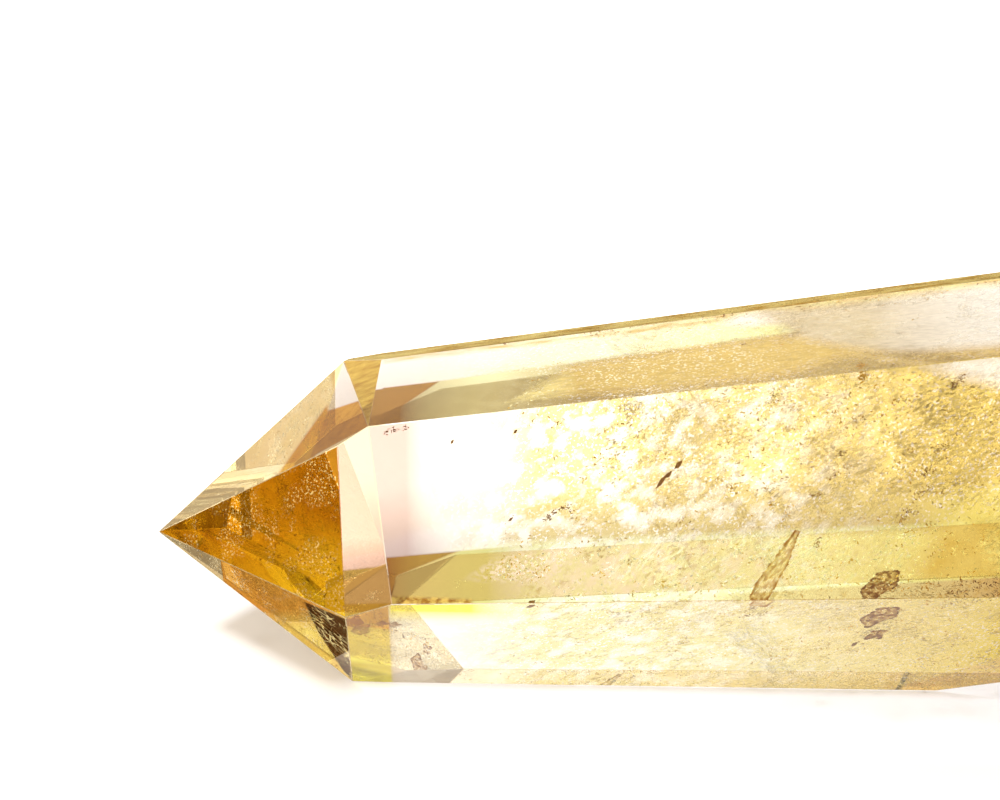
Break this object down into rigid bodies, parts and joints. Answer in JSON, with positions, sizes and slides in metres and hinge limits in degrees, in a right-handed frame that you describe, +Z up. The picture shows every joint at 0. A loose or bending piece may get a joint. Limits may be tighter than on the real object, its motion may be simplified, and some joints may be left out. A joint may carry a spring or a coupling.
{
  "type": "polished yellow quartz point",
  "caption": "Clear yellow quartz crystal, cut as a long faceted point with a flat base, lying on one flat side.",
  "frame": {"origin": "middle of the bounding box, on the ground under the crystal", "axes": "+X along the crystal from the tip to the flat base, +Z up with the crystal lying on one flat side, -Y to the front"},
  "size_m": [0.0994, 0.0582, 0.0406],
  "materials": {
    "yellow_quartz": "polished, see-through"
  },
  "bodies": {
    "root": {"crystal": "yellow_quartz"}
  },
  "joints": []
}
